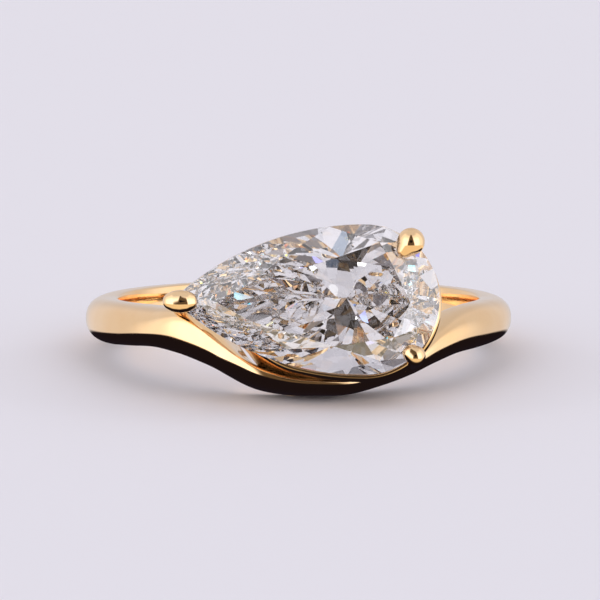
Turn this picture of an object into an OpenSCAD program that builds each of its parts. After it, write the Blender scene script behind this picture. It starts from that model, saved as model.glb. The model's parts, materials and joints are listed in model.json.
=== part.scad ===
// Solitaire ring with a pear brilliant set sideways over a swooping band, lying on its side.
// The band, the gallery wire under the stone and the three prongs are one casting.

/* [Finger hole] */
// Diameter of the finger hole
finger_d = 16.5; // [16:0.1:17.2]

/* [Stone] */
// Length of the pear, from its point to its round end
stone_l = 11.65; // [11.2:0.05:12]
// Width of the pear
stone_w = 6.6; // [6.3:0.05:6.8]
// Height of the crown over the girdle
crown_h = 0.95; // [0.8:0.05:1.05]
// Depth of the pavilion under the girdle
pavilion_h = 3.0; // [2.8:0.05:3.1]
// Thickness of the girdle where the kite facets meet it
girdle_t = 0.3; // [0.26:0.01:0.36]
// Width of the flat rim between the girdle and the table, seen from above
crown_run = 1.3; // [1.15:0.05:1.4]
// Distance of the culet from the middle of the round end, towards the point
culet_shift = 0.75; // [0.5:0.05:0.85]

/* [Setting] */
// Distance of the girdle from the axis of the finger hole
girdle_r = 11.8; // [11.6:0.05:12.2]
// Place of the middle of the stone's round end, to the right of the finger hole's axis
head_x = 2.86; // [2.6:0.02:3]
// Height of the stone's long axis over the middle of the band
stone_rise = 2.15; // [2:0.05:2.3]
// Thickness of the gallery wire
wire_d = 0.5; // [0.46:0.02:0.56]
// Diameter of the ball on the upper prong
upper_ball_d = 1.22; // [1.1:0.02:1.3]
// Diameter of the ball on the lower prong
lower_ball_d = 0.88; // [0.8:0.02:0.96]
// Width of the claw over the pear's point
claw_w = 1; // [0.85:0.01:1.05]
// Clearance between the stone and the metal that holds it
seat_gap = 0.04; // [0.03:0.01:0.06]

/* [Hidden] */

finger_r = finger_d / 2;
gold = [0.83, 0.62, 0.3];
diamond = [0.86, 0.88, 0.92];

// The band, section by section round the finger: the angle from the middle of the front, positive
// to the right, the heights of its lower and upper edge, its thickness, the share of its height at
// which it stands out furthest, how much its flat sides slope down towards the finger, and how
// square the upper half of its outside is: 2 is an ellipse.
ANGLE = 0;
LOW = 1;
HIGH = 2;
THICK = 3;
CREST = 4;
SLOPE = 5;
SQUARE = 6;
band_rows = [
    [-180, -0.80, 0.77, 1.45, 0.50, 0, 2.3],
    [-142, -0.82, 0.81, 1.47, 0.48, 0, 2.3],
    [-110, -0.86, 0.90, 1.52, 0.52, 0, 2.3],
    [-90, -0.88, 0.96, 1.55, 0.50, 0, 2.3],
    [-70, -0.86, 1.10, 1.62, 0.40, 0, 2.3],
    [-55, -0.69, 1.20, 1.80, 0.38, 0, 2.3],
    [-43, -0.57, 1.26, 2.05, 0.46, 0, 2.4],
    [-34, -0.70, 1.40, 2.20, 0.54, 3, 2.8],
    [-28, -0.93, 1.27, 2.22, 0.53, 5, 3.4],
    [-23, -1.16, 0.83, 2.25, 0.54, 8, 3.6],
    [-19, -1.41, 0.27, 2.30, 0.57, 10, 3.4],
    [-15, -1.64, -0.42, 2.38, 0.70, 10, 3.0],
    [-9.5, -1.93, -0.97, 2.48, 0.74, 10, 2.4],
    [-2, -2.23, -1.36, 2.52, 0.76, 7, 2.2],
    [6, -2.36, -1.49, 2.50, 0.76, 3, 2.2],
    [13, -2.40, -1.46, 2.45, 0.74, 0, 2.2],
    [22, -2.05, -0.93, 2.40, 0.62, 0, 2.3],
    [30, -1.68, -0.35, 2.35, 0.60, 0, 2.3],
    [38, -1.29, 0.35, 2.15, 0.57, 0, 2.3],
    [48, -0.97, 0.88, 1.90, 0.50, 0, 2.3],
    [59, -0.89, 1.09, 1.72, 0.44, 0, 2.3],
    [72, -0.86, 1.08, 1.62, 0.44, 0, 2.3],
    [90, -0.88, 0.97, 1.55, 0.50, 0, 2.3],
    [110, -0.86, 0.90, 1.52, 0.52, 0, 2.3],
    [142, -0.82, 0.81, 1.47, 0.48, 0, 2.3],
    [180, -0.80, 0.77, 1.45, 0.50, 0, 2.3]
];
band_step = 4;
section_points = 20;
// Share of the thickness that lies inside the widest line of the section
inner_share = 0.34;
// How far the section runs into the finger hole before the hole is cut
inner_spare = 0.14;
// How square the section is inside, and on the lower half of its outside
inner_square = 4;
under_square = 2.3;

// Value of one column at an angle, by a smooth curve through the rows.
full_turn = [360, 0, 0, 0, 0, 0, 0];
function row_at(angle, i = 1) = angle <= band_rows[i][ANGLE] ? i : row_at(angle, i + 1);
function slope_at(i, column) =
    let (n = len(band_rows),
         before = i == 0 ? band_rows[n - 2] - full_turn : band_rows[i - 1],
         after = i == n - 1 ? band_rows[1] + full_turn : band_rows[i + 1])
    (after[column] - before[column]) / (after[ANGLE] - before[ANGLE]);
function band_at(angle, column) =
    let (i = row_at(angle),
         a = band_rows[i - 1],
         b = band_rows[i],
         span = b[ANGLE] - a[ANGLE],
         t = (angle - a[ANGLE]) / span)
    a[column] * (1 + 2 * t) * pow(1 - t, 2) + b[column] * (3 - 2 * t) * t * t
    + span * (slope_at(i - 1, column) * t * pow(1 - t, 2) - slope_at(i, column) * t * t * (1 - t));

// One section of the band: flat inside with soft edges, domed outside.
function power(x, n) = sign(x) * pow(abs(x), n);
function section_point(angle, s) =
    let (thick = band_at(angle, THICK),
         inner = thick * inner_share,
         low = band_at(angle, LOW),
         high = band_at(angle, HIGH),
         middle = low + (high - low) * band_at(angle, CREST),
         square = cos(s) < 0 ? inner_square : sin(s) < 0 ? under_square : band_at(angle, SQUARE),
         out = power(cos(s), 2 / square) * (cos(s) < 0 ? inner + inner_spare : thick - inner),
         up = power(sin(s), 2 / square) * (sin(s) < 0 ? middle - low : high - middle))
    [finger_r + inner + out, middle + up + (inner + out - thick) * tan(band_at(angle, SLOPE))];
function on_ring(angle, p) = [p.x * sin(angle), -p.x * cos(angle), p.y];

band_angles = [for (a = [-180 : band_step : 180 - band_step]) a];
band_points = [
    for (a = band_angles, k = [0 : section_points - 1])
        on_ring(a, section_point(a, 360 * k / section_points))
];

// The faces of a tube made of rings of points, closed on itself or with two flat ends.
function ring_faces(rings, sides, closed) = [
    for (i = [0 : rings - (closed ? 1 : 2)], k = [0 : sides - 1], half = [0, 1])
        let (a = i * sides,
             b = (i + 1) % rings * sides,
             next = (k + 1) % sides)
        half == 0 ? [a + k, b + next, b + k] : [a + k, a + next, b + next]
];

module band() {
    polyhedron(points = band_points, faces = ring_faces(len(band_angles), section_points, true));
}

// The outline of the pear: a half circle and two long arcs that meet at the point. The angle
// is that of the outline's own outward direction, and the half under the axis mirrors the half over it.
// A grown outline keeps its walls parallel, so its point moves further out than its sides.
point_growth = 1.4;
function head_r(grow) = stone_w / 2 + grow;
function wing_run(grow) = stone_l - stone_w / 2 + point_growth * grow;
function wing_r(grow) = (pow(wing_run(grow), 2) + pow(head_r(grow), 2)) / 2 / head_r(grow);
function point_turn(grow) = 90 + asin(wing_run(grow) / wing_r(grow));
function outline(turn, grow = 0) =
    let (t = abs(turn), side = turn < 0 ? -1 : 1, r = wing_r(grow))
    t <= 90 ? head_r(grow) * [cos(t), side * sin(t)]
    : t < point_turn(grow) ? [r * cos(t), side * (r * sin(t) - r + head_r(grow))]
    : [-wing_run(grow), 0];

// The cut: kite facets stand at these turns of the outline, and the pairs of narrow girdle facets
// between them meet at the splits.
kite_turns = [0, 50, 97, 117, 180, 243, 263, 310];
split_turns = [25, 73, 107, 126, 234, 253, 287, 335];
// No main facet of the pavilion lies under the point: the facets at these turns meet there
below_point = [117, 243];
// Shares of the crown's and the pavilion's height at which the girdle facets end
star_share = 0.68;
lower_share = 0.78;
// How much wider the crown is at the pear's point
point_run = 1.5;
// How much deeper a grown stone's culet lies, for each unit of growth
culet_growth = 1.5;
girdle_steps = 5;
function signed(turn) = turn > 180 ? turn - 360 : turn;
function away(turn) = [cos(turn), sin(turn)];

// How far a facet that rises at the girdle point p has come in at a share of its height.
function crown_reach(turn, share) = share * crown_run * (turn == 180 ? point_run : 1);
function kite_line(turn, share, grow) =
    away(turn) * outline(signed(turn), grow) - crown_reach(turn, share);
function keel(turn, grow) = away(turn) * (outline(signed(turn), grow) + [culet_shift, 0]);
function main_line(turn, share, grow) =
    away(turn) * outline(signed(turn), grow) - share * keel(turn, grow);
function meet(turn_a, a, turn_b, b) =
    [a * sin(turn_b) - b * sin(turn_a), b * cos(turn_a) - a * cos(turn_b)] / sin(turn_b - turn_a);
function lift(p, z) = [p.x, p.y, z];

// The height of the plane through three points, over the point p of the outline.
function plane_z(p, a, b, c) =
    let (n = cross(b - a, c - a))
    a.z - (n.x * (p.x - a.x) + n.y * (p.y - a.y)) / n.z;

function facet_points(grow) =
    let (top = girdle_t / 2 + crown_h + grow,
         low = -girdle_t / 2 - pavilion_h - culet_growth * grow)
    concat(
        [[-culet_shift, 0, low]],
        [for (t = kite_turns)
            lift(outline(signed(t), grow) - away(t) * crown_reach(t, 1), top)],
        [for (i = [0 : 7])
            let (t = kite_turns[i],
                 next = kite_turns[(i + 1) % 8],
                 split = outline(signed(split_turns[i]), grow),
                 kite_a = kite_line(t, star_share, grow),
                 kite_b = kite_line(next, star_share, grow),
                 low_t = t == 180 ? below_point[0] : t,
                 high_t = next == 180 ? below_point[1] : next,
                 main_a = main_line(low_t, lower_share, grow),
                 main_b = main_line(high_t, lower_share, grow),
                 star = lift(meet(t, kite_a, next, kite_b), girdle_t / 2 + star_share * crown_h),
                 deep = lift(meet(low_t, main_a, high_t, main_b),
                             -girdle_t / 2 - lower_share * pavilion_h))
            each concat(
                [star, deep],
                [for (end = [t, next])
                    let (kite = outline(signed(end), grow),
                         from = signed(end) == 180 ? sign(180 - split_turns[i]) * point_turn(grow)
                                : end == next && next == 0 ? 360 : end,
                         to = signed(end) == 180 ? signed(split_turns[i]) : split_turns[i])
                    for (k = [0 : girdle_steps])
                        let (p = outline(signed(from + (to - from) * k / girdle_steps), grow))
                        for (z = [girdle_t / 2, -girdle_t / 2])
                            lift(p, plane_z(p, lift(kite, z), lift(split, z), z > 0 ? star : deep))
                ])]);

module brilliant(grow = 0) {
    points = facet_points(grow);
    hull()
        polyhedron(points = points, faces = [[for (i = [0 : len(points) - 1]) i]]);
}

// Places a thing made in the stone's own frame: its outline flat, its table up, the middle
// of the round end at the origin.
module at_stone() {
    translate([head_x, -girdle_r, stone_rise])
        rotate([90, 0, 0])
            children();
}

// The gallery wire runs round under the girdle, a little inside the outline and a little low, and
// further inside near the point.
wire_rings = 72;
wire_sides = 12;
wire_inset = 0.12;
wire_tuck = 0.4;
tuck_turns = [142, 162];
wire_drop = 0.36;
wire_depth = 1.15;
function smooth_step(x, low, high) =
    let (t = min(1, max(0, (x - low) / (high - low))))
    t * t * (3 - 2 * t);
function wire_at(turn) =
    let (t = signed(turn),
         inset = wire_inset + wire_tuck * smooth_step(abs(t), tuck_turns[0], tuck_turns[1]))
    lift(outline(t * point_turn(-inset) / 180, -inset) - [0, wire_drop], -wire_depth);

// Over the band's dip the wire spreads back and down, and lies on the band's top as a shelf. It
// starts and ends gradually, at these turns of the wire.
shelf_turns = [196, 208, 246, 262];
// Distance of the shelf's back from the axis of the finger hole, and its depth in the band
shelf_r = 9.1;
shelf_sink = 0.25;
function shelf(turn) =
    let (start = wire_at(turn),
         x = start.x + head_x,
         angle = abs(x) < shelf_r ? asin(x / shelf_r) : 0,
         top = band_at(angle, HIGH) - shelf_sink,
         end = [start.x, top - stone_rise, shelf_r * cos(angle) - girdle_r])
    (end - start) * smooth_step(turn, shelf_turns[0], shelf_turns[1])
    * (1 - smooth_step(turn, shelf_turns[2], shelf_turns[3]));
function unit(v) = v / norm(v);
wire_step = 360 / wire_rings;
wire_points = [
    for (i = [0 : wire_rings - 1])
        let (turn = (i + 0.5) * wire_step,
             along = wire_at((turn + wire_step) % 360) - wire_at((turn - wire_step + 360) % 360),
             side = unit(cross(along, [0, 0, 1])),
             up = unit(cross(side, along)),
             back = shelf(turn),
             reach = max(norm(back), 0.000001))
        for (k = [0 : wire_sides - 1])
            let (a = 360 * k / wire_sides,
                 out = side * cos(a) + up * sin(a))
            wire_at(turn) + wire_d / 2 * out + back * max(0, out * back / reach)
];

module gallery() {
    polyhedron(points = wire_points, faces = ring_faces(wire_rings, wire_sides, true));
}

// Column of the turn on the outline, in the tables of feet and prongs
TURN = 0;

module ball(at, r) {
    translate(at)
        sphere(r = r, $fn = 28);
}

// A round bar with ball ends, for a prong's stem or its head.
module bar(from, r_from, to, r_to) {
    hull() {
        ball(from, r_from);
        ball(to, r_to);
    }
}

// The prongs, ball by ball. Each row has the turn on the outline, the distance outside the girdle,
// the height over the girdle's middle, and the radius. A stem ends in the neck, and the head that
// lies over the girdle runs from the ball to the nose.
ASIDE = 1;
UP = 2;
RADIUS = 3;
upper_neck = [52, 0.18, 0.1, 0.33];
upper_ball = [52, 0, 0.55, upper_ball_d / 2];
upper_nose = [52, -0.44, 0.62, 0.36];
lower_neck = [-47, 0.1, 0.1, 0.38];
lower_ball = [-47, -0.01, 0.5, lower_ball_d / 2];
lower_nose = [-48, -0.24, 0.5, 0.38];
function prong_at(row) =
    lift((stone_w / 2 + row[ASIDE]) * away(row[TURN]), row[UP]);

module prong_stem(foot, foot_r, neck) {
    bar(foot, foot_r, prong_at(neck), neck[RADIUS]);
}

module prong_head(ball, nose) {
    bar(prong_at(ball), ball[RADIUS], prong_at(nose), nose[RADIUS]);
}

// The upper prong stands on the gallery wire and follows the pavilion up and over the girdle.
upper_foot_turn = 70;
upper_foot_r = 0.36;
module upper_prong() {
    prong_stem(wire_at(upper_foot_turn), upper_foot_r, upper_neck);
    prong_head(upper_ball, upper_nose);
}

// The lower prong rises from the band, through the gallery wire.
lower_foot = [2.1, -3.0, -2.9];
lower_foot_r = 0.52;
module lower_prong() {
    prong_stem(lower_foot, lower_foot_r, lower_neck);
    prong_head(lower_ball, lower_nose);
}

// The claw rises from the left shoulder of the band and lies over the pear's point.
claw_l = 1.56;
claw_end_r = claw_w * 0.43;
claw_middle = [-wing_run(0) + 0.36, -0.02, 0.46];
claw_reach = [claw_l / 2 - claw_end_r, 0, 0];
claw_rise = [0, 0, 0.04];
claw_foot = [-8.15, -0.6, -3.6];
claw_foot_r = 0.36;
claw_neck = claw_middle - [0.3, 0, 0.3];
claw_neck_r = 0.32;
module point_claw() {
    bar(claw_foot, claw_foot_r, claw_neck, claw_neck_r);
    hull() {
        ball(claw_middle - claw_reach, claw_end_r);
        ball(claw_middle, claw_w / 2);
        ball(claw_middle + claw_reach + claw_rise, claw_end_r);
    }
}

// Short feet join the gallery wire to the band: one under its lower run, one from its round end
// to the right shoulder. Each row has the turn on the wire and the foot's place in the band.
FOOT = 1;
feet = [
    [262, [1.0, -3.45, -2.35]],
    [352, [2.7, -2.2, -4.4]]
];
foot_r = 0.22;
module gallery_feet() {
    for (foot = feet) {
        from = wire_at(foot[TURN]);
        along = foot[FOOT] - from;
        translate(from)
            rotate([0, acos(along.z / norm(along)), atan2(along.y, along.x)])
                cylinder(h = norm(along), r = foot_r, $fn = 24);
    }
}

// The ring lies on its side, on the front of the band's dip and on the band's back.
function tilted_z(p, tilt) = p.z * cos(tilt) - p.y * sin(tilt);
function lowest(points, tilt) =
    let (heights = [for (p = points) tilted_z(p, tilt)])
    points[search(min(heights), heights)[0]];
front_points = [for (p = band_points) if (p.y < 0) p];
back_points = [for (p = band_points) if (p.y > 0) p];
function settled(tilt, tries) =
    tries == 0 ? tilt
    : let (front = lowest(front_points, tilt), back = lowest(back_points, tilt))
      settled(atan((back.z - front.z) / (back.y - front.y)), tries - 1);
first_tilt = 5;
rest_tilt = settled(first_tilt, 4);

module laid() {
    rotate([-rest_tilt, 0, 0])
        children();
}

module ring_mount() {
    color(gold)
        laid()
            difference() {
                union() {
                    band();
                    at_stone() {
                        gallery();
                        gallery_feet();
                        upper_prong();
                        lower_prong();
                        point_claw();
                    }
                }
                cylinder(h = 4 * finger_r, r = finger_r, center = true, $fn = 180);
                at_stone()
                    brilliant(seat_gap);
            }
}

module pear_stone() {
    color(diamond)
        laid()
            at_stone()
                brilliant();
}

ring_mount();
pear_stone();
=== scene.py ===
"""Pear solitaire ring lying on its side: polished gold, faceted stone, pale floor, tent light."""

import json
import math

import bmesh
import bpy
import numpy as np
from mathutils import Matrix, Vector


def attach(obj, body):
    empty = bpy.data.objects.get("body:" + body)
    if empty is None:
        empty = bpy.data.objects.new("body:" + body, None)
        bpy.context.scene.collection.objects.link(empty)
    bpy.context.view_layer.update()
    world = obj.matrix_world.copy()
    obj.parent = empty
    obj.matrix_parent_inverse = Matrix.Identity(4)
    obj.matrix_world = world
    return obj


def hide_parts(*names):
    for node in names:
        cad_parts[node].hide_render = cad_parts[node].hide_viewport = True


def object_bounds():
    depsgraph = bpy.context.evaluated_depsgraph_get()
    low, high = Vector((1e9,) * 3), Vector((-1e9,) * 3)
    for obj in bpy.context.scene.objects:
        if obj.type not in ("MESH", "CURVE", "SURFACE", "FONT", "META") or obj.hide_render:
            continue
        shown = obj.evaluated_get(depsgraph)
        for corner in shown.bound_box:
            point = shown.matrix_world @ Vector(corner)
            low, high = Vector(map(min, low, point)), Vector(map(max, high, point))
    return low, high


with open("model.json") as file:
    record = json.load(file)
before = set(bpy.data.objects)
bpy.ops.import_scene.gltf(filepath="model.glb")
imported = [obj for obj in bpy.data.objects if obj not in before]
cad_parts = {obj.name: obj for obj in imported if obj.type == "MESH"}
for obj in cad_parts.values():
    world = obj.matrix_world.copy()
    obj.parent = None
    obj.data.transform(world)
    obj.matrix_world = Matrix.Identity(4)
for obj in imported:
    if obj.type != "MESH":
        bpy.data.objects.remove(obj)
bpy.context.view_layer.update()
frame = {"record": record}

# Sizes in millimetres, as in the solids
MM = 0.001
FINGER_R = 8.25
STONE_L = 11.65
STONE_W = 6.6
CROWN_H = 0.95
PAVILION_H = 3.0
GIRDLE_T = 0.3
CROWN_RUN = 1.3
CULET_SHIFT = 0.75
GIRDLE_R = 11.8
HEAD_X = 2.86
STONE_RISE = 2.15
WIRE_D = 0.5
UPPER_BALL_D = 1.214
LOWER_BALL_D = 0.88
SEAT_GAP = 0.04

# The hole's axis says how far the ring is tipped where it lies.
hole_axis = next(m["axis"] for m in frame["record"]["mounts"] if m["name"] == "finger_hole")
TILT = math.atan2(hole_axis[1], hole_axis[2])
LAID = Matrix.Scale(MM, 4) @ Matrix.Rotation(-TILT, 4, "X")
STONE_PLACE = Matrix.Translation((HEAD_X, -GIRDLE_R, STONE_RISE))
AT_STONE = LAID @ STONE_PLACE @ Matrix.Rotation(math.pi / 2, 4, "X")

# Camera: the photograph's angle over the floor, and the place of the ring in its frame
PHOTO_PX = 600
CAMERA_DISTANCE = 0.220
LENS = 286
SENSOR = 36
ELEVATION = math.radians(6.5) + TILT
PHOTO_CENTRE_PX = 300
RING_PX = (298.5, 317)


def make_camera():
    data = bpy.data.cameras.new("camera")
    data.sensor_width = SENSOR
    data.lens = LENS
    data.clip_start = 0.01
    camera = bpy.data.objects.new("camera", data)
    bpy.context.scene.collection.objects.link(camera)
    back = Vector((0, -math.cos(ELEVATION), math.sin(ELEVATION)))
    up = Vector((0, math.sin(ELEVATION), math.cos(ELEVATION)))
    px = CAMERA_DISTANCE / (LENS / SENSOR * PHOTO_PX)
    right = (PHOTO_CENTRE_PX - RING_PX[0]) * px
    rise = (RING_PX[1] - PHOTO_CENTRE_PX) * px
    camera.location = back * CAMERA_DISTANCE + up * rise + Vector((right, 0, 0))
    camera.rotation_euler = (math.pi / 2 - ELEVATION, 0, 0)
    bpy.context.scene.camera = camera


# Shader helpers
def material(name):
    made = bpy.data.materials.new(name)
    made.use_nodes = True
    return made, made.node_tree, made.node_tree.nodes["Principled BSDF"]


def node(tree, kind, **settings):
    made = tree.nodes.new(kind)
    for key, value in settings.items():
        setattr(made, key, value)
    return made


def feed(tree, target, value):
    """Links a socket to target, or sets it to a plain value."""
    if isinstance(value, bpy.types.NodeSocket):
        tree.links.new(value, target)
    else:
        target.default_value = value


def maths(tree, operation, a, b=0.0, c=0.0):
    made = node(tree, "ShaderNodeMath", operation=operation)
    for target, value in zip(made.inputs, (a, b, c)):
        feed(tree, target, value)
    return made.outputs[0]


def spread(tree, value, low, high, to_low=0.0, to_high=1.0, smooth=False):
    """Maps value from low..high to to_low..to_high."""
    kind = "SMOOTHSTEP" if smooth else "LINEAR"
    made = node(tree, "ShaderNodeMapRange", interpolation_type=kind)
    for target, number in zip(made.inputs, (value, low, high, to_low, to_high)):
        feed(tree, target, number)
    return made.outputs[0]


def blended(tree, share, a, b):
    """Mixes two colours."""
    made = node(tree, "ShaderNodeMix", data_type="RGBA")
    feed(tree, made.inputs[0], share)
    feed(tree, made.inputs[6], a)
    feed(tree, made.inputs[7], b)
    return made.outputs[2]


def noise(tree, vector, scale, detail=2.0, roughness=0.5):
    made = node(tree, "ShaderNodeTexNoise")
    tree.links.new(vector, made.inputs["Vector"])
    made.inputs["Scale"].default_value = scale
    made.inputs["Detail"].default_value = detail
    made.inputs["Roughness"].default_value = roughness
    return made.outputs["Fac"]


def object_mm(tree):
    """The surface's place in the object, in millimetres."""
    place = node(tree, "ShaderNodeTexCoord")
    scaled = node(tree, "ShaderNodeVectorMath", operation="SCALE")
    tree.links.new(place.outputs["Object"], scaled.inputs[0])
    scaled.inputs["Scale"].default_value = 1 / MM
    return scaled.outputs[0]


def stretched(tree, place, factors):
    """Coordinates scaled differently along each axis, for lines."""
    made = node(tree, "ShaderNodeVectorMath", operation="MULTIPLY")
    tree.links.new(place, made.inputs[0])
    made.inputs[1].default_value = factors
    return made.outputs[0]


# Light, as brightness round the ring: softboxes left and right, paler walls and ceiling, and a
# dark gap in front. What the stone lets through meets its own levels.
SOFTBOX = (1.22, 1.20, 1.20)
SOFTBOX_CORE = (1.95, 1.95, 2.0)
CEILING = (0.80, 0.80, 0.84)
BACK_WALL = (0.84, 0.83, 0.88)
RIGHT_WALL_SHARE = 0.94
BEHIND_SHARE = 0.82
GAP = (0.13, 0.10, 0.07)
LENS_DARK = (0.010, 0.009, 0.010)
TABLE_GLOW = (1.02, 0.88, 0.64)
SOFTBOX_IN_STONE = (0.88, 0.84, 0.91)
WALLS_IN_STONE = (0.165, 0.145, 0.160)
GAP_IN_STONE = (0.030, 0.020, 0.018)
TABLE_IN_STONE = (0.46, 0.35, 0.25)
SPARK = (2.6, 2.6, 2.6)
FIRE = (0.007, 0.004, 0.009)
BACKDROP = (0.69, 0.67, 0.73, 1)

# Where each light begins and ends, in degrees of elevation or of azimuth from the camera's side
CEILING_EDGE = (50, 70)
RIGHT_WALL_EDGE = (0.1, 0.5)
BEHIND_EDGE = (150, 172)
SOFTBOX_END = (118, 88)
SOFTBOX_TOP = (66, 50)
CORE_END = (88, 58)
CORE_TOP = (52, 18)
RIGHT_WIDER = 10
RIGHT_WIDER_FULL = 0.3
GAP_SPAN = (-19, 72)
GAP_HALF = (31, 12)
GAP_WIDER_IN_STONE = 10
GAP_SOFTNESS = (-5, 5)
GAP_TOP = (74, 62)
LENS_EDGE = (13, 10)
LAMP_EDGE = (0.16, 0.12)
LAMP_SCALE = 3.2
TABLE_EDGE = (-19, -23)


def mixed(tree, share, a, b):
    """Mixes two numbers."""
    made = node(tree, "ShaderNodeMix", data_type="FLOAT")
    feed(tree, made.inputs[0], share)
    feed(tree, made.inputs[2], a)
    feed(tree, made.inputs[3], b)
    return made.outputs[0]


def both(tree, *shares):
    """Multiplies shares."""
    product = shares[0]
    for share in shares[1:]:
        product = maths(tree, "MULTIPLY", product, share)
    return product


def fade(tree, value, edge):
    """Rises smoothly from 0 to 1 between two angles in degrees."""
    return spread(tree, value, math.radians(edge[0]), math.radians(edge[1]), smooth=True)


def light_channel(tree, i, place, through):
    """Brightness of red, green or blue one way, which the stone bends a little by colour."""
    bend = node(tree, "ShaderNodeCombineXYZ")
    for target, shift in zip(bend.inputs, FIRE):
        feed(tree, target, maths(tree, "MULTIPLY", through, shift * (i - 1)))
    bent = node(tree, "ShaderNodeVectorMath", operation="ADD")
    tree.links.new(place, bent.inputs[0])
    tree.links.new(bend.outputs[0], bent.inputs[1])
    place = bent.outputs[0]
    axes = node(tree, "ShaderNodeSeparateXYZ")
    tree.links.new(place, axes.inputs[0])
    x, y, z = axes.outputs
    elevation = maths(tree, "ARCSINE", z)
    azimuth = maths(tree, "ABSOLUTE", maths(tree, "ARCTAN2", x, maths(tree, "MULTIPLY", y, -1.0)))

    # walls all round, a ceiling, and a softbox at each side that ends short of the back
    high = fade(tree, elevation, CEILING_EDGE)
    right = spread(tree, x, *RIGHT_WALL_EDGE, 1.0, RIGHT_WALL_SHARE)
    behind = mixed(tree, fade(tree, azimuth, BEHIND_EDGE), 1.0, BEHIND_SHARE)
    level = mixed(tree, high, both(tree, right, behind, BACK_WALL[i]), CEILING[i])
    level = mixed(tree, through, level, WALLS_IN_STONE[i])
    wider = spread(tree, x, 0.0, RIGHT_WIDER_FULL, 0.0, math.radians(RIGHT_WIDER))
    wider = both(tree, maths(tree, "SUBTRACT", 1.0, through), wider)
    side = fade(tree, maths(tree, "SUBTRACT", azimuth, wider), SOFTBOX_END)
    under = fade(tree, elevation, SOFTBOX_TOP)
    core = both(tree, fade(tree, elevation, CORE_TOP), fade(tree, azimuth, CORE_END))
    softbox = mixed(tree, core, SOFTBOX[i], SOFTBOX_CORE[i])
    softbox = mixed(tree, through, softbox, SOFTBOX_IN_STONE[i])
    level = mixed(tree, both(tree, side, under), level, softbox)
    # the gap between the softboxes stands behind the camera and narrows upwards
    half = spread(tree, elevation, *[math.radians(a) for a in GAP_SPAN + GAP_HALF])
    wider = maths(tree, "MULTIPLY", through, math.radians(GAP_WIDER_IN_STONE))
    half = maths(tree, "ADD", half, wider)
    inside = fade(tree, maths(tree, "SUBTRACT", half, azimuth), GAP_SOFTNESS)
    under = fade(tree, elevation, GAP_TOP)
    gap = mixed(tree, through, GAP[i], GAP_IN_STONE[i])
    level = mixed(tree, both(tree, inside, under), level, gap)
    # the camera itself
    towards = node(tree, "ShaderNodeVectorMath", operation="DOT_PRODUCT")
    tree.links.new(place, towards.inputs[0])
    towards.inputs[1].default_value = (0, -math.cos(ELEVATION), math.sin(ELEVATION))
    edge = [math.cos(math.radians(a)) for a in LENS_EDGE]
    lens = spread(tree, towards.outputs["Value"], *edge, smooth=True)
    level = mixed(tree, lens, level, LENS_DARK[i])
    # small bright lamps that only the stone picks up
    lamps = node(tree, "ShaderNodeTexVoronoi", feature="F1")
    tree.links.new(place, lamps.inputs["Vector"])
    lamps.inputs["Scale"].default_value = LAMP_SCALE
    lamp = spread(tree, lamps.outputs["Distance"], *LAMP_EDGE, smooth=True)
    level = mixed(tree, both(tree, lamp, through), level, SPARK[i])
    # under the horizon, what lies in front of the ring
    table = mixed(tree, through, TABLE_GLOW[i], TABLE_IN_STONE[i])
    return mixed(tree, fade(tree, elevation, TABLE_EDGE), level, table)


def make_world():
    world = bpy.data.worlds.new("tent")
    world.use_nodes = True
    bpy.context.scene.world = world
    tree = world.node_tree
    place = node(tree, "ShaderNodeTexCoord").outputs["Generated"]
    rays = node(tree, "ShaderNodeLightPath")
    through = rays.outputs["Is Transmission Ray"]
    whole = node(tree, "ShaderNodeCombineColor")
    for i in range(3):
        feed(tree, whole.inputs[i], light_channel(tree, i, place, through))
    colour = blended(tree, rays.outputs["Is Camera Ray"], whole.outputs[0], BACKDROP)
    tree.links.new(colour, tree.nodes["Background"].inputs["Color"])


# Floor of pale paper, with a dark card on it that only reflections see: painted shade for the
# ring's underside
FLOOR_HALF = 1.0
FLOOR_PAPER = (0.80, 0.78, 0.84, 1)
FLOOR_ROUGHNESS = 0.9
FLOOR_SHEEN = 0.2
CARD_PAINTED_SHADE = (0.012, 0.009, 0.014, 1)
CARD_STEP = 5
CARD_BACK_RIM = 0.001
CARD_HALF_WIDTH = 0.0165
CARD_FRONT = -0.0150
CARD_BACK = 0.006
CARD_HOLE = 0.006
CARD_FADE = 0.86
CARD_LIFT = 0.00002


def flat_sheet(name, corners, level, faces):
    """A level sheet that belongs to the stage."""
    mesh = bpy.data.meshes.new(name)
    mesh.from_pydata([(x, y, level) for x, y in corners], [], faces)
    sheet = bpy.data.objects.new(name, mesh)
    bpy.context.scene.collection.objects.link(sheet)
    return sheet


def make_floor():
    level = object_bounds()[0].z
    h = FLOOR_HALF
    floor = flat_sheet("floor", [(-h, -h), (h, -h), (h, h), (-h, h)], level, [(0, 1, 2, 3)])
    made, tree, shader = material("floor_paper")
    shader.inputs["Base Color"].default_value = FLOOR_PAPER
    shader.inputs["Roughness"].default_value = FLOOR_ROUGHNESS
    shader.inputs["Specular IOR Level"].default_value = FLOOR_SHEEN
    floor.data.materials.append(made)
    floor.visible_glossy = False
    make_shade_card(level + CARD_LIFT)


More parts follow.
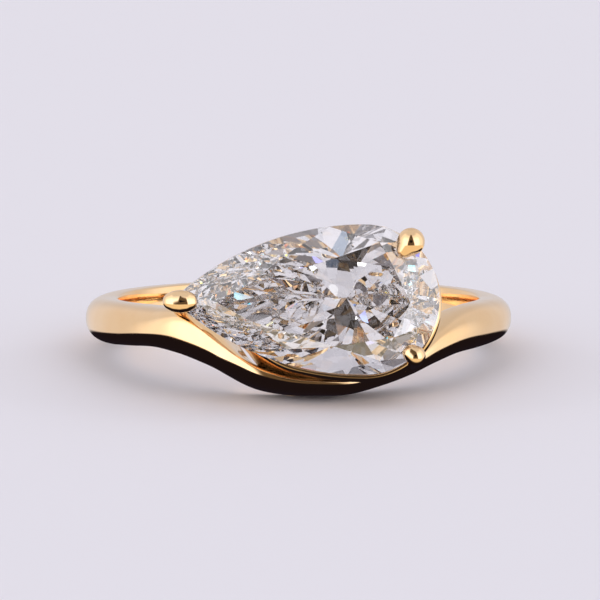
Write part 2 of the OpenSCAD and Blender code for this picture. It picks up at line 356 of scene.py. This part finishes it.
def make_shade_card(level):
    """A dark oval card, unseen by the camera, that the metal and the stone mirror: a painted dark
    reflection, which shades the ring's underside.

    Its hole leaves the paper's light inside the finger hole."""
    middle, half = (CARD_BACK + CARD_FRONT) / 2, (CARD_BACK - CARD_FRONT) / 2
    turns = [math.radians(t) for t in range(0, 360, CARD_STEP)]
    count = len(turns)
    corners = [(CARD_HALF_WIDTH * math.cos(t), middle + half * math.sin(t)) for t in turns]
    rim = CARD_BACK - CARD_BACK_RIM
    corners += [(CARD_HOLE * math.cos(t), min(CARD_HOLE * math.sin(t), rim)) for t in turns]
    faces = [(k, (k + 1) % count, count + (k + 1) % count, count + k) for k in range(count)]
    card = flat_sheet("painted_shade_card", corners, level, faces)
    made, tree, shader = material("painted_shade_card")
    # it fades out towards its outer border
    across = node(tree, "ShaderNodeVectorMath", operation="LENGTH")
    place = node(tree, "ShaderNodeVectorMath", operation="SUBTRACT")
    tree.links.new(object_mm(tree), place.inputs[0])
    place.inputs[1].default_value = (0, middle / MM, level / MM)
    squeezed = stretched(tree, place.outputs[0], (MM / CARD_HALF_WIDTH, MM / half, 1))
    tree.links.new(squeezed, across.inputs[0])
    alpha = spread(tree, across.outputs["Value"], 1.0, CARD_FADE, smooth=True)
    feed(tree, shader.inputs["Alpha"], alpha)
    shader.inputs["Base Color"].default_value = (0, 0, 0, 1)
    shader.inputs["Specular IOR Level"].default_value = 0
    # painted shade: the card's faint dark glow is what the ring's underside mirrors
    shader.inputs["Emission Color"].default_value = CARD_PAINTED_SHADE
    shader.inputs["Emission Strength"].default_value = 1
    card.data.materials.append(made)
    for kind in ("camera", "diffuse", "shadow", "volume_scatter"):
        setattr(card, "visible_" + kind, False)


# Band, section by section: angle, low edge, high edge, thickness, crest, slope, squareness
BAND = np.array([
    (-180, -0.79, 0.77, 1.443, 0.50, 0, 2.3),
    (-142, -0.81, 0.81, 1.47, 0.48, 0, 2.3),
    (-110, -0.86, 0.90, 1.52, 0.52, 0, 2.3),
    (-90, -0.88, 0.96, 1.547, 0.50, 0, 2.3),
    (-70, -0.86, 1.10, 1.62, 0.40, 0, 2.3),
    (-55, -0.69, 1.20, 1.80, 0.38, 0, 2.3),
    (-43, -0.57, 1.26, 2.05, 0.46, 0, 2.4),
    (-34, -0.70, 1.40, 2.20, 0.54, 3, 2.8),
    (-28, -0.93, 1.27, 2.22, 0.53, 5, 3.4),
    (-23, -1.16, 0.83, 2.25, 0.54, 8, 3.6),
    (-19, -1.41, 0.27, 2.30, 0.57, 11, 3.7),
    (-15, -1.63, -0.33, 2.38, 0.68, 14, 4.5),
    (-9.5, -1.92, -0.91, 2.48, 0.72, 12, 3.8),
    (-2, -2.23, -1.34, 2.52, 0.79, 7, 3.2),
    (6, -2.35, -1.47, 2.50, 0.80, 3, 2.8),
    (13, -2.39, -1.44, 2.45, 0.78, 0, 2.5),
    (22, -2.05, -0.93, 2.40, 0.62, 0, 2.3),
    (30, -1.68, -0.35, 2.35, 0.60, 0, 2.3),
    (38, -1.29, 0.35, 2.15, 0.57, 0, 2.3),
    (48, -0.97, 0.88, 1.90, 0.50, 0, 2.3),
    (59, -0.89, 1.09, 1.72, 0.44, 0, 2.3),
    (72, -0.86, 1.08, 1.62, 0.44, 0, 2.3),
    (90, -0.88, 0.97, 1.547, 0.50, 0, 2.3),
    (110, -0.86, 0.90, 1.52, 0.52, 0, 2.3),
    (142, -0.81, 0.81, 1.47, 0.48, 0, 2.3),
    (180, -0.79, 0.77, 1.443, 0.50, 0, 2.3),
])
BAND_RINGS = 360
BAND_POINTS = 72
INNER_SHARE = 0.34
INNER_SPARE = 0.14
INNER_SQUARE = 4
UNDER_SQUARE = 2.3
EDGE_SOFTNESS = 0.06
COMFORT = 0.07


def band_at(angle):
    """The band's row at an angle, by a smooth curve through the table's rows."""
    turn = np.array([360, 0, 0, 0, 0, 0, 0])
    rows = np.vstack([BAND[-2] - turn, BAND, BAND[1] + turn])
    i = int(np.searchsorted(BAND[1:, 0], angle)) + 1
    a, b = rows[i], rows[i + 1]
    slope_a = (rows[i + 1] - rows[i - 1]) / (rows[i + 1][0] - rows[i - 1][0])
    slope_b = (rows[i + 2] - rows[i]) / (rows[i + 2][0] - rows[i][0])
    span = b[0] - a[0]
    t = (angle - a[0]) / span
    value = a * (1 + 2 * t) * (1 - t) ** 2 + b * (3 - 2 * t) * t * t
    return value + span * (slope_a * t * (1 - t) ** 2 - slope_b * t * t * (1 - t))


def power(x, n):
    return math.copysign(abs(x) ** n, x)


def section_point(row, s):
    """A point of the band's section: its distance from the finger hole's axis, and its height."""
    _, low, high, thick, crest, slope, dome = row
    inner = thick * INNER_SHARE
    middle = low + (high - low) * crest
    inside = math.cos(s) < 0
    square = INNER_SQUARE if inside else UNDER_SQUARE if math.sin(s) < 0 else dome
    out = power(math.cos(s), 2 / square) * (inner + INNER_SPARE if inside else thick - inner)
    up = power(math.sin(s), 2 / square) * (middle - low if math.sin(s) < 0 else high - middle)
    height = middle + up + (inner + out - thick) * math.tan(math.radians(slope))
    wall = inner + out
    # the finger hole's wall opens a little to its rims, with a soft edge where it ends
    flare = COMFORT * (2 * (height - low) / (high - low) - 1) ** 2
    wall = flare + (wall - flare + math.hypot(wall - flare, EDGE_SOFTNESS)) / 2
    return FINGER_R + wall, height


def tube_mesh(name, rings, place):
    """A closed loop of rings of points, as an object placed by a matrix."""
    count, sides = len(rings), len(rings[0])
    points = [place @ Vector(p) for ring in rings for p in ring]
    faces = []
    for i in range(count):
        a, b = i * sides, (i + 1) % count * sides
        for k in range(sides):
            n = (k + 1) % sides
            faces.append((a + k, b + k, b + n, a + n))
    return mesh_object(name, points, faces)


def mesh_object(name, points, faces):
    mesh = bpy.data.meshes.new(name)
    mesh.from_pydata(points, [], faces)
    work = bmesh.new()
    work.from_mesh(mesh)
    bmesh.ops.recalc_face_normals(work, faces=work.faces)
    if work.calc_volume(signed=True) < 0:
        bmesh.ops.reverse_faces(work, faces=work.faces)
    work.to_mesh(mesh)
    work.free()
    made = bpy.data.objects.new(name, mesh)
    bpy.context.scene.collection.objects.link(made)
    return made


def make_band():
    rings = []
    for i in range(BAND_RINGS):
        angle = -180 + 360 * i / BAND_RINGS
        row = band_at(angle)
        a = math.radians(angle)
        ring = []
        for k in range(BAND_POINTS):
            r, z = section_point(row, 2 * math.pi * k / BAND_POINTS)
            ring.append((r * math.sin(a), -r * math.cos(a), z))
        rings.append(ring)
    return tube_mesh("band", rings, LAID)


# The pear's outline and its cut, in the stone's own frame: table up, round end's middle at zero
POINT_GROWTH = 1.4
KITE_TURNS = (0, 50, 97, 117, 180, 243, 263, 310)
SPLIT_TURNS = (25, 73, 107, 126, 234, 253, 287, 335)
MAIN_TURNS = {97: 93.5, 263: 266.5}
BELOW_POINT = (117, 243)
STAR_SHARE = 0.68
LOWER_SHARE = 0.78
POINT_RUN = 1.5
CULET_GROWTH = 1.5
GIRDLE_STEPS = 10
MERGE = 0.002
FLAT_ANGLE = math.radians(0.4)


def wing(grow):
    """Run from the round end's middle to the point, the head's radius, and the wing's radius."""
    run = STONE_L - STONE_W / 2 + POINT_GROWTH * grow
    head = STONE_W / 2 + grow
    return run, head, (run ** 2 + head ** 2) / 2 / head


def point_turn(grow):
    run, _, radius = wing(grow)
    return 90 + math.degrees(math.asin(run / radius))


def outline(turn, grow=0.0):
    run, head, radius = wing(grow)
    t = math.radians(abs(turn))
    side = -1 if turn < 0 else 1
    if abs(turn) <= 90:
        return np.array([head * math.cos(t), side * head * math.sin(t)])
    if abs(turn) < point_turn(grow):
        return np.array([radius * math.cos(t), side * (radius * math.sin(t) - radius + head)])
    return np.array([-run, 0.0])


def smooth_step(x, low, high):
    t = min(1, max(0, (x - low) / (high - low)))
    return t * t * (3 - 2 * t)


def signed(turn):
    return turn - 360 if turn > 180 else turn


def away(turn):
    return np.array([math.cos(math.radians(turn)), math.sin(math.radians(turn))])


def kite_line(turn, share, grow):
    reach = share * CROWN_RUN * (POINT_RUN if turn == 180 else 1)
    return away(turn) @ outline(signed(turn), grow) - reach


def main_line(turn, share, grow):
    edge = outline(signed(turn), grow)
    return away(turn) @ edge - share * (away(turn) @ (edge + [CULET_SHIFT, 0]))


def meet(turn_a, a, turn_b, b):
    ta, tb = math.radians(turn_a), math.radians(turn_b)
    crossing = [a * math.sin(tb) - b * math.sin(ta), b * math.cos(ta) - a * math.cos(tb)]
    return np.array(crossing) / math.sin(tb - ta)


def plane_z(p, a, b, c):
    n = np.cross(b - a, c - a)
    return a[2] - (n[0] * (p[0] - a[0]) + n[1] * (p[1] - a[1])) / n[2]


def girdle_points(start, stop, from_last, inner, edge, grow):
    """The edge that a girdle facet cuts on the stone's side, from its main facet to its split."""
    kite = np.array([*outline(signed(start), grow), edge])
    split = np.array([*outline(signed(stop), grow), edge])
    if start == 180:
        start = math.copysign(point_turn(grow), 180 - stop)
        stop = signed(stop)
    elif from_last:
        start = 360
    points = []
    for k in range(GIRDLE_STEPS + 1):
        p = outline(signed(start + (stop - start) * k / GIRDLE_STEPS), grow)
        points.append((*p, plane_z(p, kite, split, inner)))
    return points


def facet_points(grow):
    top = GIRDLE_T / 2 + CROWN_H + grow
    points = [(-CULET_SHIFT, 0, -GIRDLE_T / 2 - PAVILION_H - CULET_GROWTH * grow)]
    for turn in KITE_TURNS:
        reach = CROWN_RUN * (POINT_RUN if turn == 180 else 1)
        points.append((*(outline(signed(turn), grow) - away(turn) * reach), top))
    for i, turn in enumerate(KITE_TURNS):
        after = KITE_TURNS[(i + 1) % 8]
        lines = kite_line(turn, STAR_SHARE, grow), kite_line(after, STAR_SHARE, grow)
        star = meet(turn, lines[0], after, lines[1])
        # no main facet lies under the point: its two neighbours meet there
        low = BELOW_POINT[0] if turn == 180 else MAIN_TURNS.get(turn, turn)
        high = BELOW_POINT[1] if after == 180 else MAIN_TURNS.get(after, after)
        lines = main_line(low, LOWER_SHARE, grow), main_line(high, LOWER_SHARE, grow)
        deep = meet(low, lines[0], high, lines[1])
        star = np.array([*star, GIRDLE_T / 2 + STAR_SHARE * CROWN_H])
        deep = np.array([*deep, -GIRDLE_T / 2 - LOWER_SHARE * PAVILION_H])
        points += [tuple(star), tuple(deep)]
        for end in (turn, after):
            last, split = end == after == 0, SPLIT_TURNS[i]
            points += girdle_points(end, split, last, star, GIRDLE_T / 2, grow)
            end = MAIN_TURNS.get(end, end)
            points += girdle_points(end, split, last, deep, -GIRDLE_T / 2, grow)
    return points


def brilliant(name, grow=0.0):
    """The cut stone as the hull of its corners, with each facet one flat face."""
    work = bmesh.new()
    for p in facet_points(grow):
        work.verts.new(p)
    bmesh.ops.remove_doubles(work, verts=work.verts, dist=MERGE)
    bmesh.ops.convex_hull(work, input=work.verts)
    inner = [v for v in work.verts if not v.link_faces]
    bmesh.ops.delete(work, geom=inner, context="VERTS")
    bmesh.ops.dissolve_limit(
        work,
        angle_limit=FLAT_ANGLE,
        verts=work.verts,
        edges=work.edges,
        use_dissolve_boundaries=False,
    )
    bmesh.ops.recalc_face_normals(work, faces=work.faces)
    work.transform(AT_STONE)
    mesh = bpy.data.meshes.new(name)
    work.to_mesh(mesh)
    work.free()
    made = bpy.data.objects.new(name, mesh)
    bpy.context.scene.collection.objects.link(made)
    return made


# Gallery wire
WIRE_RINGS = 240
WIRE_SIDES = 20
WIRE_INSET = 0.12
WIRE_TUCK = 0.4
TUCK_TURNS = (142, 162)
WIRE_DROP = 0.36
WIRE_DEPTH = 1.15
SHELF_TURNS = (196, 208, 246, 262)
SHELF_R = 9.1


def wire_at(turn):
    turn = signed(turn % 360)
    inset = WIRE_INSET + WIRE_TUCK * smooth_step(abs(turn), *TUCK_TURNS)
    p = outline(turn * point_turn(-inset) / 180, -inset)
    return np.array([p[0], p[1] - WIRE_DROP, -WIRE_DEPTH])


def shelf(turn):
    """How far the wire spreads back and down, to lie on the band's top over the dip."""
    start = wire_at(turn)
    x = start[0] + HEAD_X
    angle = math.degrees(math.asin(x / SHELF_R)) if abs(x) < SHELF_R else 0
    row = band_at(angle)
    top = row[2] - (FINGER_R + row[3] - SHELF_R) * math.tan(math.radians(row[5]))
    depth = SHELF_R * math.cos(math.radians(angle)) - GIRDLE_R
    end = np.array([start[0], top - STONE_RISE, depth])
    first, full, after, last = SHELF_TURNS
    return (end - start) * smooth_step(turn, first, full) * smooth_step(-turn, -last, -after)


def make_wire():
    step = 360 / WIRE_RINGS
    rings = []
    for i in range(WIRE_RINGS):
        turn = (i + 0.5) * step
        along = wire_at(turn + step) - wire_at(turn - step)
        side = np.cross(along, (0, 0, 1))
        side /= np.linalg.norm(side)
        up = np.cross(side, along)
        up /= np.linalg.norm(up)
        spread_by = shelf(turn)
        reach = max(np.linalg.norm(spread_by), 1e-6)
        ring = []
        for k in range(WIRE_SIDES):
            a = 2 * math.pi * k / WIRE_SIDES
            out = side * math.cos(a) + up * math.sin(a)
            lean = max(0, out @ spread_by / reach)
            ring.append(wire_at(turn) + WIRE_D / 2 * out + spread_by * lean)
        rings.append(ring)
    return tube_mesh("wire", rings, AT_STONE)


# Prongs: a ball is its turn, its distance outside the girdle, its height over it, and its radius
UPPER_NECK = (52, 0.18, 0.1, 0.33)
UPPER_BALL = (52, 0, 0.55, UPPER_BALL_D / 2)
UPPER_NOSE = (52, -0.44, 0.62, 0.36)
LOWER_NECK = (-47, 0.1, 0.1, 0.38)
LOWER_BALL = (-47, -0.01, 0.5, LOWER_BALL_D / 2)
LOWER_NOSE = (-48, -0.24, 0.5, 0.38)
UPPER_FOOT_TURN = 70
UPPER_FOOT_R = 0.36
LOWER_FOOT = np.array([2.1, -3.0, -2.9])
LOWER_FOOT_R = 0.52
CLAW_BALLS = ((-1, 0.38), (-0.5, 0.47), (0, 0.5), (0.5, 0.47), (1, 0.38))
CLAW_MIDDLE = np.array([STONE_W / 2 - STONE_L + 0.36, -0.02, 0.46])
CLAW_REACH = np.array([0.4, 0, 0])
CLAW_RISE = np.array([0, 0, 0.04])
CLAW_FOOT = np.array([-8.15, -0.6, -3.6])
CLAW_FOOT_R = 0.36
CLAW_NECK_DROP = np.array([0.3, 0, 0.3])
CLAW_NECK_R = 0.32
FEET = (
    (262, (1.0, -3.45, -2.35)),
    (352, (2.7, -2.2, -4.4)),
)
FEET_R = 0.22
FEET_SIDES = 24
BAR_SIDES = 48
CAP_STEPS = 12
SHARP_ANGLE = math.radians(38)


def prong_ball(row):
    turn, aside, up, radius = row
    p = (STONE_W / 2 + aside) * away(turn)
    return np.array([*p, up]), radius


def bar(name, *balls, sides=BAR_SIDES):
    """A smooth solid round balls that lie in a line: each is (centre, radius)."""
    centres = [np.array(c, float) for c, _ in balls]
    radii = [r for _, r in balls]
    axis = centres[-1] - centres[0]
    axis /= np.linalg.norm(axis)
    side = np.cross(axis, (0.3, 0.5, 0.8))
    side /= np.linalg.norm(side)
    other = np.cross(axis, side)
    along = [(c - centres[0]) @ axis for c in centres]
    lean = []
    for i in range(len(balls) - 1):
        lean.append(math.asin((radii[i] - radii[i + 1]) / (along[i + 1] - along[i])))
    starts = [-math.pi / 2] + lean
    ends = lean + [math.pi / 2]
    profile = []
    for s, r, start, end in zip(along, radii, starts, ends):
        steps = max(2, round(CAP_STEPS * (end - start)))
        for k in range(steps + 1):
            phi = start + (end - start) * k / steps
            profile.append((s + r * math.sin(phi), r * math.cos(phi)))
    profile = profile[1:-1]
    points = [centres[0] - axis * radii[0]]
    for s, r in profile:
        for k in range(sides):
            a = 2 * math.pi * k / sides
            points.append(centres[0] + axis * s + r * (side * math.cos(a) + other * math.sin(a)))
    points.append(centres[-1] + axis * radii[-1])
    last = len(points) - 1
    faces = []
    for k in range(sides):
        n = (k + 1) % sides
        faces.append((0, 1 + n, 1 + k))
        faces.append((last, last - sides + k, last - sides + n))
        for i in range(len(profile) - 1):
            a, b = 1 + i * sides, 1 + (i + 1) * sides
            faces.append((a + k, a + n, b + n, b + k))
    return mesh_object(name, [AT_STONE @ Vector(p) for p in points], faces)


def claw_place(share):
    """The middle of the claw's head at a share of its reach: -1 at its back, 1 at its nose."""
    return CLAW_MIDDLE + CLAW_REACH * share + CLAW_RISE * (share + 1) / 2


def make_prongs():
    claw_neck = CLAW_MIDDLE - CLAW_NECK_DROP
    parts = [
        bar("upper_stem", (wire_at(UPPER_FOOT_TURN), UPPER_FOOT_R), prong_ball(UPPER_NECK)),
        bar("upper_head", prong_ball(UPPER_BALL), prong_ball(UPPER_NOSE)),
        bar("lower_stem", (LOWER_FOOT, LOWER_FOOT_R), prong_ball(LOWER_NECK)),
        bar("lower_head", prong_ball(LOWER_BALL), prong_ball(LOWER_NOSE)),
        bar("claw_stem", (CLAW_FOOT, CLAW_FOOT_R), (claw_neck, CLAW_NECK_R)),
        bar("claw_head", *[(claw_place(share), r) for share, r in CLAW_BALLS]),
    ]
    for i, (turn, foot) in enumerate(FEET):
        ends = (wire_at(turn), FEET_R), (foot, FEET_R)
        parts.append(bar(f"foot_{i}", *ends, sides=FEET_SIDES))
    return parts


def combine(target, cutter, operation):
    change = target.modifiers.new("join", "BOOLEAN")
    change.operation = operation
    change.solver = "MANIFOLD"
    change.object = cutter
    graph = bpy.context.evaluated_depsgraph_get()
    mesh = bpy.data.meshes.new_from_object(target.evaluated_get(graph))
    target.modifiers.clear()
    target.data = mesh
    bpy.data.objects.remove(cutter)


def make_mount():
    mount = make_band()
    for part in [make_wire()] + make_prongs():
        combine(mount, part, "UNION")
    combine(mount, brilliant("seat", SEAT_GAP), "DIFFERENCE")
    mount.name = "gold_mount"
    mount.data.shade_smooth()
    mount.data.set_sharp_from_angle(angle=SHARP_ANGLE)
    mount.data.materials.clear()
    mount.data.materials.append(polished_gold())
    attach(mount, "root")
    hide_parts("ring_mount")


# Polished gold. A noise is a scale per millimetre and a detail; an edge is where a share starts
# and where it is full.
GOLD_WARM = (0.90, 0.60, 0.32, 1)
GOLD_PALE = (0.92, 0.65, 0.38, 1)
GOLD_WORN = (0.95, 0.72, 0.46, 1)
GOLD_PAINTED_CREVICE_SHADE = (0.68, 0.63, 0.56, 1)
TONE_NOISE = (0.7, 3.0)
TONE_EDGE = (0.3, 0.7)
HOLLOW_REACH = 0.0011
HOLLOW_EDGE = (0.02, 0.5)
HOLLOW_SAMPLES = 12
WORN_REACH = 0.00006
WORN_EDGE = (0.995, 0.9)
WORN_SAMPLES = 6
WORN_NOISE = (2.4, 3.0)
WORN_NOISE_EDGE = (0.4, 0.65)
WORN_HAZE = 0.12
HAZE_NOISE = (3.0, 4.0)
HAZE_EDGE = (0.35, 0.75)
HAZE = (0.06, 0.13)
ALONG_STRETCH = (1.5, 1.5, 34.0)
ALONG_NOISE = (1.3, 2.0)
ALONG_EDGE = (0.66, 0.78)
ACROSS_STRETCH = (26.0, 3.0, 2.0)
ACROSS_NOISE = (1.1, 2.0)
ACROSS_EDGE = (0.70, 0.82)
SCRATCH_HAZE = 0.10
SCRATCH_STRENGTH = 0.03
SCRATCH_DEPTH = 0.00001


def polished_gold():
    made, tree, shader = material("polished_gold")
    place = object_mm(tree)
    tone = spread(tree, noise(tree, place, *TONE_NOISE), *TONE_EDGE)
    gold = blended(tree, tone, GOLD_WARM, GOLD_PALE)
    # painted shade: crevices turn a duller, greyer gold, which darkens them where shade falls
    hollow = node(tree, "ShaderNodeAmbientOcclusion", only_local=True, samples=HOLLOW_SAMPLES)
    hollow.inputs["Distance"].default_value = HOLLOW_REACH
    open_share = spread(tree, hollow.outputs["AO"], *HOLLOW_EDGE)
    gold = blended(tree, open_share, GOLD_PAINTED_CREVICE_SHADE, gold)
    # edges are worn a little paler and duller
    bevel = node(tree, "ShaderNodeBevel", samples=WORN_SAMPLES)
    bevel.inputs["Radius"].default_value = WORN_REACH
    plain = node(tree, "ShaderNodeNewGeometry")
    turned = node(tree, "ShaderNodeVectorMath", operation="DOT_PRODUCT")
    tree.links.new(bevel.outputs[0], turned.inputs[0])
    tree.links.new(plain.outputs["Normal"], turned.inputs[1])
    edge = spread(tree, turned.outputs["Value"], *WORN_EDGE)
    patchy = spread(tree, noise(tree, place, *WORN_NOISE), *WORN_NOISE_EDGE)
    worn = both(tree, edge, patchy, open_share)
    feed(tree, shader.inputs["Base Color"], blended(tree, worn, gold, GOLD_WORN))
    shader.inputs["Metallic"].default_value = 1.0
    # the polish varies, with hairline scratches along the band and across it
    haze = spread(tree, noise(tree, place, *HAZE_NOISE), *HAZE_EDGE, *HAZE)
    along = noise(tree, stretched(tree, place, ALONG_STRETCH), *ALONG_NOISE)
    across = noise(tree, stretched(tree, place, ACROSS_STRETCH), *ACROSS_NOISE)
    along = spread(tree, along, *ALONG_EDGE)
    across = spread(tree, across, *ACROSS_EDGE)
    scratched = maths(tree, "MAXIMUM", along, across)
    roughness = maths(tree, "ADD", haze, maths(tree, "MULTIPLY", scratched, SCRATCH_HAZE))
    roughness = maths(tree, "ADD", roughness, maths(tree, "MULTIPLY", worn, WORN_HAZE))
    feed(tree, shader.inputs["Roughness"], roughness)
    relief = node(tree, "ShaderNodeBump")
    relief.inputs["Strength"].default_value = SCRATCH_STRENGTH
    relief.inputs["Distance"].default_value = SCRATCH_DEPTH
    tree.links.new(scratched, relief.inputs["Height"])
    tree.links.new(relief.outputs[0], shader.inputs["Normal"])
    return made


def make_stone():
    stone = brilliant("cut_stone")
    stone.data.materials.append(diamond())
    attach(stone, "root")
    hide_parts("pear_stone")


# Cut diamond: clear facets with the faintest polish lines, and a girdle that is a little frosted
REFRACTION = 2.417
FROST_EDGE = (0.46, 0.34)
FROST_NOISE = (9.0, 3.0)
FROST_NOISE_EDGE = (0.3, 0.7)
FROST = (0.03, 0.08)
LINE_STRETCH = (22.0, 3.0, 9.0)
LINE_NOISE = (1.0, 2.0)
LINE_EDGE = (0.6, 0.8)
LINE_HAZE = (0.0, 0.003)


def diamond():
    made, tree, shader = material("diamond")
    place = object_mm(tree)
    shader.inputs["Base Color"].default_value = (1, 1, 1, 1)
    shader.inputs["IOR"].default_value = REFRACTION
    shader.inputs["Transmission Weight"].default_value = 1.0
    over = node(tree, "ShaderNodeVectorMath", operation="DOT_PRODUCT")
    tree.links.new(place, over.inputs[0])
    over.inputs[1].default_value = (0, -math.cos(TILT), math.sin(TILT))
    height = maths(tree, "ABSOLUTE", maths(tree, "SUBTRACT", over.outputs["Value"], GIRDLE_R))
    frost = spread(tree, height, *[GIRDLE_T * share for share in FROST_EDGE], smooth=True)
    grain = spread(tree, noise(tree, place, *FROST_NOISE), *FROST_NOISE_EDGE, *FROST)
    lines = noise(tree, stretched(tree, place, LINE_STRETCH), *LINE_NOISE)
    polish = spread(tree, lines, *LINE_EDGE, *LINE_HAZE)
    feed(tree, shader.inputs["Roughness"], mixed(tree, frost, polish, grain))
    return made


make_camera()
make_floor()
make_world()
make_mount()
make_stone()

scene = bpy.context.scene
scene.view_settings.view_transform = "Standard"
scene.cycles.max_bounces = 32
scene.cycles.glossy_bounces = 24
scene.cycles.transmission_bounces = 24
scene.cycles.blur_glossy = 0.0
